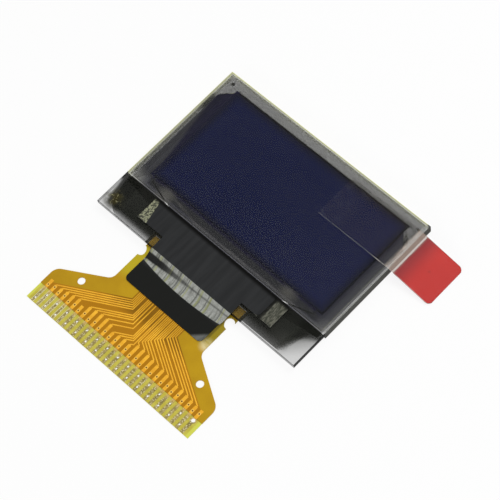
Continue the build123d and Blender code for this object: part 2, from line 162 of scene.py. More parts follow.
def colour(red, green, blue):
    # a screen colour from 0 to 255, as the shader's linear colour
    parts = (part / 255 for part in (red, green, blue))
    linear = [((part + 0.055) / 1.055) ** 2.4 if part > 0.04 else part / 12.92 for part in parts]
    return (*linear, 1.0)


noiseInputs = [("Place", "Vector", None), ("Stretch", "Vector", (1.0, 1.0, 1.0)), ("Scale", "Float", 1.0)]


def newGroup(name, inputs, outputs):
    group = bpy.data.node_groups.new(name, "ShaderNodeTree")
    for title, kind, default in inputs:
        socket = group.interface.new_socket(name=title, in_out="INPUT", socket_type="NodeSocket" + kind)
        if default is not None:
            socket.default_value = default
    for title in outputs:
        group.interface.new_socket(name=title, in_out="OUTPUT", socket_type="NodeSocketFloat")
    given = {socket.name: Field(group, socket) for socket in group.nodes.new("NodeGroupInput").outputs}
    return group, given, group.nodes.new("NodeGroupOutput").inputs


def stretchedNoise(group, given, detail):
    place = addField(group, "VectorMath", {0: given["Place"], 1: given["Stretch"]}, operation="MULTIPLY")
    return addField(group, "TexNoise", {"Vector": place, "Scale": given["Scale"], "Detail": detail})


def makeGrainGroup():
    group, given, result = newGroup("fineGrain", noiseInputs, ["Mask", "Height"])
    noise = stretchedNoise(group, given, 4.0)
    wire(group, noise.ramp(0.3, 0.7), result["Mask"])
    wire(group, noise, result["Height"])
    return group


def makeBandGroup():
    # 1 between start and end, with a soft step at both
    inputs = [("Value", "Float", 0.0), ("Start", "Float", 0.0), ("End", "Float", 1.0), ("Soft", "Float", 0.1)]
    group, given, result = newGroup("placeBand", inputs, ["Mask"])
    value, soft = given["Value"], given["Soft"]
    wire(group, value.above(given["Start"], soft) * value.below(given["End"], soft), result["Mask"])
    return group


def makeSpeckGroup():
    inputs = noiseInputs + [("Level", "Float", 0.6), ("Soft", "Float", 0.05)]
    group, given, result = newGroup("specks", inputs, ["Mask"])
    wire(group, stretchedNoise(group, given, 3.0).above(given["Level"], given["Soft"]), result["Mask"])
    return group


def makeEdgeGroup():
    # marks the narrow upright faces of a sheet or a glass
    group, given, result = newGroup("cutEdges", [("Limit", "Float", 0.6)], ["Mask"])
    normal = addField(group, "NewGeometry", {}, "Normal")
    height = addField(group, "SeparateXYZ", {0: normal}, "Z")
    wire(group, height.calculate("LESS_THAN", abs(height), given["Limit"]), result["Mask"])
    return group


grainGroup = makeGrainGroup()
bandGroup = makeBandGroup()
speckGroup = makeSpeckGroup()
edgeGroup = makeEdgeGroup()


class Finish:
    # a Principled material that is laid over mask by mask; places are Object coordinates in mm

    plainSockets = {"metallic": "Metallic", "specular": "Specular IOR Level", "alpha": "Alpha",
                    "glow": "Emission Color"}

    def __init__(self, name, look):
        self.material = bpy.data.materials.new(name)
        self.material.use_nodes = True
        self.tree = self.material.node_tree
        self.sockets = self.tree.nodes["Principled BSDF"].inputs
        place = addField(self.tree, "TexCoord", {}, "Object")
        self.place = addField(self.tree, "Mapping", {"Vector": place, "Scale": (1 / mm, 1 / mm, 1 / mm)})
        parts = addNode(self.tree, "SeparateXYZ", {0: self.place}).outputs
        self.x, self.y, self.z = (Field(self.tree, part) for part in parts)
        self.addGrain(look)
        for key, socketName in self.plainSockets.items():
            if key in look:
                self.sockets[socketName].default_value = look[key]
        self.sockets["Emission Strength"].default_value = 1.0 if "glow" in look else 0.0

    def addGrain(self, look):
        # colour, roughness and bump follow one grain
        tree = self.tree
        inputs = {"Place": self.place, "Stretch": look.get("stretch", (1, 1, 1)), "Scale": look["grain"]}
        grain = addNode(tree, "Group", inputs, node_tree=grainGroup).outputs
        colours = {"Factor": grain["Mask"], 6: look["colour"], 7: look["second"]}
        mix = addNode(tree, "Mix", colours, data_type="RGBA")
        bump = {"Height": grain["Height"], "Strength": look["bump"], "Distance": look["depth"] * mm}
        wire(tree, mix.outputs[2], self.sockets["Base Color"])
        wire(tree, Field(tree, grain["Mask"]).evenly(*look["roughness"]), self.sockets["Roughness"])
        wire(tree, addField(tree, "Bump", bump), self.sockets["Normal"])

    def lay(self, socketName, mask, value, strength=1.0):
        # mixes a value or colour over what the socket has now, where the mask is 1
        socket = self.sockets[socketName]
        isColour = socket.type == "RGBA"
        if socket.links:
            before = socket.links[0].from_socket
        else:
            before = tuple(socket.default_value) if isColour else socket.default_value
        if strength != 1.0:
            mask = mask * strength
        first, second, result = (6, 7, 2) if isColour else (2, 3, 0)
        inputs = {"Factor": mask, first: before, second: value}
        node = addNode(self.tree, "Mix", inputs, data_type="RGBA" if isColour else "FLOAT")
        wire(self.tree, node.outputs[result], socket)

    def tint(self, mask, value, strength=1.0):
        self.lay("Base Color", mask, value, strength)

    def glow(self, mask, value, strength=1.0):
        self.lay("Emission Color", mask, value, strength)

    def fade(self, mask, value):
        self.lay("Alpha", mask, value)

    def specks(self, scale, level, soft=0.05, stretch=(1, 1, 1)):
        inputs = {"Place": self.place, "Scale": scale, "Level": level, "Soft": soft, "Stretch": stretch}
        return addField(self.tree, "Group", inputs, "Mask", node_tree=speckGroup)

    def cutEdges(self, limit=0.6):
        return addField(self.tree, "Group", {"Limit": limit}, "Mask", node_tree=edgeGroup)

    def disc(self, x, y, radius, soft):
        centre = addField(self.tree, "CombineXYZ", {0: x, 1: y, 2: 0.0})
        flat = addField(self.tree, "VectorMath", {0: self.place, 1: (1, 1, 0)}, operation="MULTIPLY")
        reach = addField(self.tree, "VectorMath", {0: flat, 1: centre}, "Value", operation="DISTANCE")
        return reach.below(radius, soft)

    def beyond(self, low, high):
        # how far a place lies outside an upright rectangle of the plan, in mm; negative inside it
        middle, half = (low + high) / 2, (high - low) / 2
        return (abs(self.x - middle.x) - half.x).larger(abs(self.y - middle.y) - half.y)


def dress(names, finish):
    for name in names:
        piece = nodes[name]
        if piece.material_slots:
            for slot in piece.material_slots:
                slot.material = finish.material
        else:
            piece.data.materials.append(finish.material)


# places of the frame that the finishes and pieces follow, in mm

def edges(name):
    low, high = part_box(name)
    return low / mm, high / mm


coverThickness = 0.03    # the film over the tracks
glassLow, glassHigh = edges("substrate_glass")
capLow, capHigh = edges("cap_glass")
sealLow, sealHigh = edges("edge_seal")
emitterLow, emitterHigh = edges("emitter_layer")
polarizerLow, polarizerHigh = edges("polarizer")
foilLow, foilHigh = edges("foil_strip")
tapeLow, tapeHigh = edges("black_tape")
coverLow = edges("flex_coverlay")[0]
tabLow = edges("pull_tab_tape")[0]
gripLow = edges("pull_tab_grip")[0]
firstPad, lastPad = (sum(edges(name), Vector()) / 2 for name in ("conductor_01", "conductor_30"))
trackNames = sorted(name for name in nodes if name.startswith("conductor_"))
copperTop = edges("conductor_01")[1].z
tailTop = copperTop + coverThickness


# In the looks a colour may stand with its strength. A pair of places is a level and its softness, or where a
# smooth step starts and where it is full. Specks have a scale, a level, a softness and a stretch.

# finishes of the glass panel

border = {                                   # mm, round the display
    "rim": 0.2,                              # from the light-giving film to the display area's rim
    "bareFrom": (5.0, 5.2),                  # its corners are bare above this height, beyond slanted lines
    "leftCut": (-0.93, -19.27, -19.43), "rightCut": (0.83, 17.85, 18.01),
}


def beyondDisplay(finish):
    return finish.beyond(emitterLow, emitterHigh) - border["rim"]


def cornerMask(finish):
    left, right = ((finish.x + finish.y * slope).ramp(full, bare)
                   for slope, full, bare in (border["leftCut"], border["rightCut"]))
    return left.larger(right) * finish.y.ramp(*border["bareFrom"])


glassLook = {
    "colour": colour(58, 60, 54), "second": colour(66, 67, 62), "grain": 0.4, "roughness": (0.02, 0.05),
    "bump": 0.02, "depth": 0.001, "alpha": 0.20, "specular": 0.1, "glow": colour(0, 0, 0),
    # the pale edge colour and glow are a painted highlight on the cut edges, the dark and side edge colours
    # painted shade
    "paleEdge": colour(236, 236, 184), "paleGlow": colour(118, 120, 70), "paleAlpha": 0.8,
    "darkEdge": colour(16, 17, 15), "darkAlpha": 0.97, "edgeRoughness": 0.6, "sideEdge": colour(70, 70, 65),
    "sideFrom": (12.9, 13.1), "bareAlpha": 0.55, "bareBelow": (-6.3, 0.3), "opaqueBelow": (0.54, 0.04),
}


def glassFinish(name, look):
    # clear sheet whose cut edges carry painted light: a pale highlight with a glow behind the display, and
    # painted shade, dark, at the ledge and the right side
    finish = Finish(name, look)
    x, y, z = finish.x, finish.y, finish.z
    edge = finish.cutEdges(0.9)
    side = x.ramp(*look["sideFrom"])
    onLedge = y.below(capLow.y, 0.1)
    darkEdge = edge * side.larger(onLedge)
    finish.tint(edge, look["paleEdge"])
    finish.glow(edge * (1.0 - side.larger(onLedge)), look["paleGlow"])
    finish.tint(darkEdge, look["darkEdge"])
    finish.tint(edge * side * (1.0 - onLedge), look["sideEdge"])
    finish.fade(edge, look["paleAlpha"])
    finish.fade(darkEdge, look["darkAlpha"])
    finish.lay("Roughness", edge, look["edgeRoughness"])
    bareEnd = x.below(glassLow.x + 0.02, 0.01) * y.below(*look["bareBelow"])
    finish.fade(edge * bareEnd, look["bareAlpha"])
    finish.fade(edge * y.below(glassLow.y + 0.02, 0.01), look["bareAlpha"])
    finish.fade(darkEdge * z.below(*look["opaqueBelow"]), 1.0)
    return finish


rearLook = dict(glassLook, alpha=0.14, paleAlpha=0.4, shade=colour(30, 30, 33), shadeAlpha=0.95,
                shadeFrom=(0.15, 0.2), shadeReach=(0.8, 0.05))


def rearGlassFinish():
    # clear but for a painted shade of the films, all round the desiccant, and painted shade in the dark gap
    # beyond the glue
    finish = glassFinish("rearGlass", rearLook)
    belowTop = finish.y.below(emitterHigh.y + 0.45, 0.05)
    shade = belowTop * finish.z.ramp(*rearLook["shadeFrom"])
    shade = shade * beyondDisplay(finish).below(*rearLook["shadeReach"])
    shade = shade * finish.beyond(*edges("desiccant_sheet")).above(-0.05, 0.05) * (1.0 - cornerMask(finish))
    gap = finish.x.above(sealHigh.x, 0.02) * finish.z.ramp(capHigh.z - 0.02, capHigh.z - 0.01)
    for mask, value in ((shade, rearLook["shade"]), (gap, rearLook["sideEdge"])):
        finish.tint(mask, value)
        finish.fade(mask, rearLook["shadeAlpha"])
    return finish


residue = {                                  # dark resin that wets the underside of the ledge
    "lean": 0.21, "leftDark": -14.5, "leftClear": -15.05, "leftEnd": (-11.2, 0.4), "outerDark": -8.6,
    "outerClear": -9.4, "rightStart": 11.15, "curve": 0.41, "curveFrom": -8.4, "soft": 0.65,
    # the pale part at the ledge's right end is a painted reflection
    "rightFrom": (10.4, 11.2), "reflectionFrom": (9.0, 10.5), "reflectionDown": (-7.2, -8.7), "hazeFrom": (10.4, 11.4),
    "hazeLean": -0.9, "hazeStart": 18.2, "hazeEnd": 20.8, "hazeAlpha": 0.56, "colour": colour(26, 26, 25),
    "reflectionColour": colour(70, 70, 67), "alpha": 0.96,
}
ledgeStain = {
    "x": -12.3, "y": -8.35, "radius": 0.95, "soft": 0.5, "colour": colour(60, 56, 32),
    "scratches": colour(146, 142, 108), "alpha": 0.75, "specks": (1.6, 0.44, 0.14),
    "scratchSpecks": (8.0, 0.62, 0.02, (1.0, 0.45, 1.0)),
}
underPaint = {                               # what shows at the underside of the front glass
    "glueWidth": 0.95, "cornerAlpha": 0.52, "seam": colour(28, 28, 42), "seamBand": (-0.06, 0.16, 0.05),
    "seamGlowEnd": (-11.2, 0.1), "seamGlow": colour(26, 24, 56), "seamAlpha": 0.97,
    "mark": colour(40, 40, 38), "markRadius": 0.179, "markAlpha": 0.62, "rightMark": 0.8,
    "bondGapShade": colour(36, 32, 20), "bondBand": (-0.02, 0.32, 0.06), "bondAlpha": 0.95,
    "strip": colour(50, 50, 50), "stripEnd": (-12.85, 0.05), "stripBand": (-4.6, 6.7, 0.3),
    "stripTop": (4.4, 5.2), "stripAlpha": 0.45, "stripTopAlpha": 0.85, "marginAlpha": 0.34,
}


def residueMask(finish):
    # follows a slanted line at the left end of the ledge and a curved one at its right end
    x, y = finish.x, finish.y
    line = residue
    outer = y.below(capLow.y, 0.02) * y.ramp(line["outerClear"], line["outerDark"])
    left = (x + y * line["lean"]).ramp(line["leftClear"], line["leftDark"])
    left = left * x.below(*line["leftEnd"])
    rise = (y - line["curveFrom"]).larger(0.0)
    limit = rise * rise * line["curve"] + line["rightStart"]
    right = (limit - x).above(0.0, line["soft"]) * x.ramp(*line["rightFrom"])
    return outer * left.larger(right)


def layBorderPaint(finish, underside):
    # bare corners, the display's dark rim with a painted glow on its left part, and the two round marks
    paint = underPaint
    inset = Vector((paint["glueWidth"], paint["glueWidth"], 0))
    free = finish.beyond(sealLow + inset, sealHigh - inset).below(-0.01, 0.05)
    finish.fade(underside * cornerMask(finish) * free, paint["cornerAlpha"])
    seam = underside * beyondDisplay(finish).band(*paint["seamBand"])
    finish.tint(seam, paint["seam"])
    finish.glow(seam * finish.x.below(*paint["seamGlowEnd"]), paint["seamGlow"])
    corner, radius = edges("alignment_marks")[0], paint["markRadius"]
    for centre, share in ((corner.x + radius, 1.0), (-corner.x - radius, paint["rightMark"])):
        dot = underside * finish.disc(centre, corner.y + radius, radius * share + 0.04, 0.06)
        finish.tint(dot, paint["mark"])
        finish.fade(dot, paint["markAlpha"])
    finish.fade(seam, paint["seamAlpha"])


def frontGlassFinish():
    finish = glassFinish("frontGlass", glassLook)
    x, y, z = finish.x, finish.y, finish.z
    paint, mark = underPaint, ledgeStain
    stain = finish.disc(mark["x"], mark["y"], mark["radius"], mark["soft"])
    stain = stain * finish.specks(*mark["specks"])
    finish.tint(stain, mark["colour"])
    finish.fade(stain, mark["alpha"])
    finish.tint(stain * finish.specks(*mark["scratchSpecks"]), mark["scratches"])
    underside = z.below(glassLow.z + 0.015, 0.005)
    layBorderPaint(finish, underside)
    onLedge = y.below(capLow.y, 0.02)
    hazy = (x + y * residue["hazeLean"]).ramp(residue["hazeEnd"], residue["hazeStart"])
    finish.fade(underside * onLedge * hazy * x.ramp(*residue["hazeFrom"]), residue["hazeAlpha"])
    wet = underside * residueMask(finish)
    finish.tint(wet, residue["colour"])
    # painted reflection, paler, at the right end of the dark resin
    finish.tint(wet * y.ramp(*residue["reflectionDown"]) * x.ramp(*residue["reflectionFrom"]), residue["reflectionColour"])
    finish.fade(wet, residue["alpha"])
    # painted shade in the gap round the flex's bond film
    bondGapShade = underside * finish.beyond(*edges("flex_bond_film")).band(*paint["bondBand"])
    finish.tint(bondGapShade, paint["bondGapShade"])
    finish.fade(bondGapShade, paint["bondAlpha"])
    topSide = (1.0 - onLedge) * z.ramp(glassHigh.z - 0.02, glassHigh.z - 0.01)
    for beside in (x.below(polarizerLow.x, 0.05), x.above(polarizerHigh.x, 0.05)):
        finish.fade(beside * topSide, paint["marginAlpha"])
    strip = underside * x.below(*paint["stripEnd"]) * y.band(*paint["stripBand"])
    finish.tint(strip, paint["strip"])
    finish.fade(strip, paint["stripAlpha"])
    finish.fade(strip * y.ramp(*paint["stripTop"]), paint["stripTopAlpha"])
    return finish


dress(["substrate_glass"], frontGlassFinish())
dress(["cap_glass"], rearGlassFinish())

glueLook = {
    "colour": colour(118, 118, 100), "second": colour(136, 136, 116), "grain": 1.2, "roughness": (0.4, 0.6),
    "bump": 0.2, "depth": 0.01, "alpha": 0.26, "glow": colour(28, 30, 10), "shade": colour(50, 50, 50),
    "shadeAlpha": 0.9,
}


def glueFinish():
    # pale at the top edge and the bare corners through a painted glow, and darkened under the films as
    # painted shade
    finish = Finish("edgeGlue", glueLook)
    hidden = finish.y.below(emitterHigh.y + 0.25, 0.1) * (1.0 - cornerMask(finish))
    finish.glow(hidden, colour(0, 0, 0))
    shaded = hidden * beyondDisplay(finish).below(1.3, 0.1)
    finish.tint(shaded, glueLook["shade"])
    finish.fade(shaded, glueLook["shadeAlpha"])
    return finish


dress(["edge_seal"], glueFinish())

desiccantLook = {
    "colour": colour(205, 204, 198), "second": colour(190, 189, 183), "grain": 3.0,
    "roughness": (0.8, 0.95), "bump": 0.5, "depth": 0.02,
}
dress(["desiccant_sheet"], Finish("desiccant", desiccantLook))

# the films behind the glass carry a low glow, painted light that makes up for the little light coming back
# through so many clear layers

displayLook = {
    "colour": colour(40, 44, 96), "second": colour(34, 38, 84), "grain": 0.12, "roughness": (0.4, 0.5),
    "bump": 0.02, "depth": 0.001, "specular": 0.2, "glow": colour(8, 20, 74),
    "sweep": (colour(38, 42, 88), 0.5), "sweepLean": -0.6, "sweepRange": (-4.0, 16.0), "haloWidth": 1.00,
    "halo": (colour(20, 21, 30), 0.85), "haloGlow": (colour(14, 14, 48), 0.9),
}


def displayFinish(name, look):
    # navy film that turns near black towards its edges, with a painted glow and a slanted sweep of painted
    # light over it
    finish = Finish(name, look)
    halo = beyondDisplay(finish).ramp(-look["haloWidth"], 0.0)
    finish.tint(halo, *look["halo"])
    finish.glow((finish.x + finish.y * look["sweepLean"]).ramp(*look["sweepRange"]), *look["sweep"])
    finish.glow(halo, *look["haloGlow"])
    return finish


dress(["cathode_film"], displayFinish("displayFilm", displayLook))
dress(["emitter_layer"], displayFinish("organicFilm", dict(displayLook, alpha=0.15)))

leadLook = {
    "colour": colour(128, 127, 128), "second": colour(110, 110, 114), "grain": 0.3,
    "roughness": (0.35, 0.5), "bump": 0.03, "depth": 0.001, "metallic": 0.2, "glow": colour(72, 72, 80),
    "tracks": (colour(176, 175, 172), 0.25), "rimGlow": (colour(30, 30, 34), 0.8), "rimReach": (0.6, 0.0),
    "ledge": colour(24, 24, 23), "cornerAlpha": 0.05,
}
# painted shade of the leads, with its own glow
leadShade = {
    "lean": 0.16, "pale": -12.15, "dark": -11.75, "rightDark": 11.0, "rightPale": 12.5, "lowPale": -4.95,
    "lowDark": -4.75, "colour": (colour(46, 46, 52), 0.9), "glow": (colour(24, 18, 58), 0.95),
    "lowGlow": (colour(54, 54, 56), 0.9), "lowGlowBelow": (-4.1, 0.2),
}
sheenLine = {
    "height": -4.98, "soft": 0.18, "start": -8.6, "end": 9.5, "armFrom": -4.5, "armSlope": 0.18,
    "endSoft": 0.8, "specks": (0.6, 0.42, 0.2), "glow": (colour(124, 122, 118), 0.9),
}
# painted sheen spots at the ends of the ledge and on the low border
sheenSpots = [               # x, y, radius, soft, colour and strength
    (-13.0, capLow.y - 0.1, 1.1, 0.9, colour(176, 176, 170), 0.9),
    (13.0, capLow.y - 0.1, 1.1, 0.9, colour(176, 176, 170), 0.3),
    (7.6, -4.35, 0.75, 0.7, colour(118, 116, 110), 0.6),
    (-8.8, -4.7, 0.75, 0.7, colour(118, 116, 110), 0.8),
]


def leadFinish():
    # film of very fine tracks under a painted glow, with painted shade at its sides and low border, and a
    # painted sheen that sweeps along the fan below the display
    finish = Finish("leadMetal", leadLook)
    x, y = finish.x, finish.y
    line = sheenLine
    shade = leadShade
    waves = {"Vector": finish.place, "Scale": 4.0, "Distortion": 0.3}
    finish.tint(addField(finish.tree, "TexWave", waves, "Fac", bands_direction="X"), *leadLook["tracks"])
    finish.glow(beyondDisplay(finish).ramp(*leadLook["rimReach"]), *leadLook["rimGlow"])
    shaded = (x + y * shade["lean"]).ramp(shade["pale"], shade["dark"])
    shaded = shaded * x.ramp(shade["rightPale"], shade["rightDark"])
    shaded = shaded * y.ramp(shade["lowPale"], shade["lowDark"])
    finish.glow(shaded, *shade["glow"])
    finish.glow(shaded * y.below(*shade["lowGlowBelow"]), *shade["lowGlow"])
    finish.tint(shaded, *shade["colour"])
    height = y - (line["armFrom"] - x).larger(0.0) * line["armSlope"]
    sheen = height.band(line["height"], line["height"] + 0.1, line["soft"])
    sheen = sheen * x.band(line["start"], line["end"], line["endSoft"])
    finish.glow(sheen * finish.specks(*line["specks"]), *line["glow"])
    for *place, value, strength in sheenSpots:
        finish.glow(finish.disc(*place), value, strength)
    onLedge = y.below(capLow.y + 0.03, 0.05)
    finish.glow(onLedge, colour(0, 0, 0))
    finish.tint(onLedge, leadLook["ledge"])
    finish.fade(cornerMask(finish), leadLook["cornerAlpha"])
    return finish


dress(["column_leads", "row_leads_left", "row_leads_right", "input_leads"], leadFinish())

# the marks carry a painted glow
markLook = {
    "colour": colour(34, 34, 32), "second": colour(44, 44, 40), "grain": 1.5, "roughness": (0.4, 0.6),
    "bump": 0.03, "depth": 0.001, "glow": colour(50, 50, 46),
}
dress(["alignment_marks"], Finish("markMetal", markLook))

polarizerLook = {
    "colour": colour(26, 27, 24), "second": colour(30, 31, 28), "grain": 0.3, "roughness": (0.1, 0.15),
    "bump": 0.02, "depth": 0.001, "alpha": 0.27, "specular": 0.3, "edge": colour(170, 172, 136),
    "edgeAlpha": 0.45, "edgeRoughness": 0.7, "low": colour(62, 60, 34), "lowAlpha": 0.95,
}


def polarizerFinish():
    finish = Finish("polarizerSheet", polarizerLook)
    # the cut edges are painted pale as a highlight, and the low edge is olive
    edge = finish.cutEdges()
    low = edge * finish.y.below(polarizerLow.y + 0.03, 0.02)
    finish.fade(edge, polarizerLook["edgeAlpha"])
    finish.fade(low, polarizerLook["lowAlpha"])
    finish.lay("Roughness", edge, polarizerLook["edgeRoughness"])
    finish.tint(edge, polarizerLook["edge"])
    finish.tint(low, polarizerLook["low"])
    return finish


dress(["polarizer"], polarizerFinish())

filmLook = {
    "colour": colour(196, 198, 196), "second": colour(185, 188, 190), "grain": 0.5,
    "roughness": (0.06, 0.12), "bump": 0.03, "depth": 0.002, "alpha": 0.008, "dust": (9.0, 0.74, 0.02),
    "dustAlpha": 0.05, "edgeAlpha": 0.12,
}
filmFinish = Finish("protectiveFilm", filmLook)
filmFinish.fade(filmFinish.specks(*filmLook["dust"]), filmLook["dustAlpha"])
filmFinish.fade(filmFinish.cutEdges(), filmLook["edgeAlpha"])
dress(["protective_film"], filmFinish)

tabTapeLook = {
    "colour": colour(200, 184, 172), "second": colour(216, 204, 194), "grain": 0.8,
    "roughness": (0.15, 0.3), "bump": 0.1, "depth": 0.004, "alpha": 0.010, "freeAlpha": 0.16,
    "streaks": (3.0, 0.55, 0.08, (2.2, 0.25, 1.0)), "streakAlpha": 0.38, "beside": colour(176, 154, 142),
    "besideAlpha": 0.42, "bubbles": (2.2, 0.58, 0.03), "bubbleEnd": 2.4, "bubble": colour(196, 200, 212),
    "bubbleAlpha": 0.03, "edgeAlpha": 0.35, "rim": colour(236, 234, 228), "rimSpecks": (3.0, 0.38, 0.12),
    "rimEnd": (11.2, 11.6), "rimAlpha": 0.12, "rimEndAlpha": 0.4,
}


def tabTapeFinish():
    # clear on the display, hazy with pale streaks where it leaves the panel, with a painted highlight along
    # its low edge
    finish, look = Finish("clearTape", tabTapeLook), tabTapeLook
    x, y = finish.x, finish.y
    free = x.band(polarizerHigh.x, gripLow.x + 0.05, 0.2)
    finish.fade(free, look["freeAlpha"])
    finish.fade(free * finish.specks(*look["streaks"]), look["streakAlpha"])
    beside = x.band(glassHigh.x + 0.02, gripLow.x + 0.03, 0.06)
    finish.tint(beside, look["beside"])
    finish.fade(beside, look["besideAlpha"])
    bubbles = x.below(tabLow.x + look["bubbleEnd"], 0.8) * finish.specks(*look["bubbles"])
    finish.tint(bubbles, look["bubble"])
    finish.fade(bubbles, look["bubbleAlpha"])
    finish.fade(finish.cutEdges() * x.ramp(tabLow.x + 0.02, tabLow.x + 0.4), look["edgeAlpha"])
    # painted highlight along the tape's low edge
    rim = y.below(tabLow.y + 0.045, 0.015) * finish.specks(*look["rimSpecks"])
    finish.tint(rim, look["rim"])
    finish.fade(rim, look["rimAlpha"])
    finish.fade(rim * x.ramp(*look["rimEnd"]), look["rimEndAlpha"])
    return finish


dress(["pull_tab_tape"], tabTapeFinish())

gripLook = {
    "colour": colour(193, 50, 46), "second": colour(187, 47, 44), "grain": 0.18, "roughness": (0.3, 0.42),
    "bump": 0.05, "depth": 0.003, "deep": colour(138, 42, 47), "deepWidth": 2.2,
    "edge": colour(130, 36, 36), "speck": (colour(110, 34, 32), 0.7), "speckPlace": (16.3, 6.1, 0.10, 0.04),
}


def gripFinish():
    # red film, deeper towards the panel, with darker cut edges and one small speck
    finish = Finish("redFilm", gripLook)
    finish.tint(finish.x.ramp(gripLow.x + gripLook["deepWidth"], gripLow.x - 0.2), gripLook["deep"])
    finish.tint(finish.cutEdges(), gripLook["edge"])
    finish.tint(finish.disc(*gripLook["speckPlace"]), *gripLook["speck"])
    return finish


gripMaterial = gripFinish()
dress(["pull_tab_grip"], gripMaterial)

resinLook = {
    "colour": colour(22, 22, 21), "second": colour(27, 27, 28), "grain": 0.5, "roughness": (0.4, 0.6),
    "bump": 0.1, "depth": 0.005, "specular": 0.2, "pale": (colour(78, 78, 75), 0.9),
}
resinFade = {
    "leftLean": 0.21, "leftBlack": -14.2, "leftClear": -14.8, "wander": 0.35,
    "wanderSpecks": (0.7, 0.5, 0.2), "outerBlack": (-8.45, -8.0), "outerClear": -9.58,
    "outerMost": (0.8, 0.40), "outerFrom": -6.0, "outerTo": 7.0, "rightLean": -0.42, "rightBlack": 14.1,
    "rightClear": 15.1, "paleFrom": (8.5, 11.5), "paleDown": (-6.2, -9.0),
}


def resinFinish():
    # dark behind the ledge, thinning to clear towards the glass's ends and outer edge, with a painted
    # reflection, paler, towards its right end
    finish = Finish("darkResin", resinLook)
    x, y = finish.x, finish.y
    fade = resinFade
    wander = finish.specks(*fade["wanderSpecks"]) * fade["wander"]
    leftward = x + y * fade["leftLean"] - wander
    left = leftward.ramp(fade["leftBlack"], fade["leftClear"])
    most, black = (x.evenly(*fade[key], fade["outerFrom"], fade["outerTo"])
                   for key in ("outerMost", "outerBlack"))
    outer = y.ramp(black, fade["outerClear"]) * most
    right = (x + y * fade["rightLean"]).ramp(fade["rightBlack"], fade["rightClear"])
    # painted reflection at the right end of the ledge
    finish.tint(x.ramp(*fade["paleFrom"]) * y.ramp(*fade["paleDown"]), *resinLook["pale"])
    wire(finish.tree, 1.0 - left.larger(outer).larger(right), finish.sockets["Alpha"])
    return finish


dress(["ledge_sealant"], resinFinish())

chipLook = {
    "colour": colour(58, 60, 66), "second": colour(48, 50, 56), "grain": 0.8, "roughness": (0.12, 0.25),
    "bump": 0.1, "depth": 0.002, "metallic": 0.4,
}
dress(["driver_chip"], Finish("chipSilicon", chipLook))
bondLook = {
    "colour": colour(190, 152, 42), "second": colour(158, 124, 30), "grain": 1.4, "roughness": (0.4, 0.6),
    "bump": 0.2, "depth": 0.01, "alpha": 0.85,
}
dress(["chip_bond_film", "flex_bond_film"], Finish("bondFilm", bondLook))

edgeShade = {"length": 0.75, "full": 0.30, "colour": colour(14, 14, 13)}     # mm, below the polarizer's edge


# painted shadow below the polarizer's edge, on the foil and the tape
def layEdgeShade(finish):
    mask = finish.y.ramp(capLow.y - edgeShade["length"], capLow.y - edgeShade["full"])
    finish.tint(mask, edgeShade["colour"])


foilLook = {
    "colour": colour(60, 62, 52), "second": colour(70, 71, 62), "grain": 1.5, "roughness": (0.35, 0.5),
    "bump": 0.2, "depth": 0.004, "metallic": 0.1, "speck": colour(150, 152, 124),
    "specks": (6.5, 0.50, 0.06), "hatching": (5.0, 0.52, 0.08, (1.6, 0.5, 1.0)),
    "hatch": colour(106, 106, 94), "edge": colour(200, 200, 190), "end": (colour(18, 18, 17), 0.9),
    "tapeShadowBand": (7.2, 7.66, 0.08),
}


def foilFinish():
    # speckled silver at the left end, fine slanted hatching at the right end, and a painted shadow beside the
    # tape's right end
    finish = Finish("silverFoil", foilLook)
    leftEnd = finish.x.below(0.0, 1.0)
    finish.tint(leftEnd * finish.specks(*foilLook["specks"]), foilLook["speck"])
    finish.tint((1.0 - leftEnd) * finish.specks(*foilLook["hatching"]), foilLook["hatch"])
    finish.tint(finish.cutEdges(), foilLook["edge"])
    # painted shadow on the foil beside the tape's right end
    finish.tint(finish.x.band(*foilLook["tapeShadowBand"]), *foilLook["end"])
    layEdgeShade(finish)
    return finish


dress(["foil_strip"], foilFinish())

tapeLook = {
    "colour": colour(40, 41, 42), "second": colour(47, 48, 49), "grain": 1.6, "stretch": (1.0, 0.10, 1.0),
    "roughness": (0.45, 0.6), "bump": 0.2, "depth": 0.004, "specular": 0.25, "pale": colour(118, 120, 114),
    "streak": colour(164, 166, 161), "hatch": (colour(92, 94, 88), 0.3), "lens": (colour(20, 20, 20), 0.8),
    "darkLine": (colour(64, 66, 58), 0.75), "tintedLine": (colour(146, 150, 92), 0.6),
    "tail": colour(29, 30, 28), "corner": (colour(112, 114, 110), 0.8),
    "streaks": (1.5, 0.43, 0.12, (1.8, 0.25, 0.25)), "hatching": (9.0, 0.50, 0.10, (1.0, 0.6, 0.6)),
    "drifting": (0.55, 0.5, 0.25, (1.0, 0.05, 0.05)), "cornerSpecks": (1.6, 0.36, 0.2, (1.6, 0.6, 1.0)),
}
# the glare band is painted light
glareShape = {               # mm, the pale band on the tape's bend and the dark lens in it
    "top": -9.74, "bottom": -11.38, "bow": 0.015, "middle": -0.2, "lensHeight": -10.25, "lensRise": 0.03,
    "lensThick": 0.32, "lensThin": 0.05, "lensLeft": 2.2, "lensRight": 5.5, "lensSoft": (0.10, -0.08),
    "lensWhole": -3.8, "lensFaint": -1.4, "faintShare": 0.55, "lineSpacing": 1.38, "lineDrift": 0.5,
    "darkBand": (0.08, 0.15, 0.04), "tintedBand": (0.24, 0.38, 0.06), "cornerLean": -1.04,
    "cornerStart": 17.4, "cornerFull": 18.0,
}


def lensMask(finish, offset):
    # a dark lens that grows thin and faint towards the right
    shape = glareShape
    across = finish.x.ramp(tapeLow.x + shape["lensLeft"], tapeHigh.x - shape["lensRight"])
    away = abs(finish.y - (offset * shape["lensRise"] + shape["lensHeight"]))
    width = across.evenly(shape["lensThick"], shape["lensThin"])
    fading = finish.x.evenly(1.0, shape["faintShare"], shape["lensWhole"], shape["lensFaint"])
    return fading * (away - width).ramp(*shape["lensSoft"])


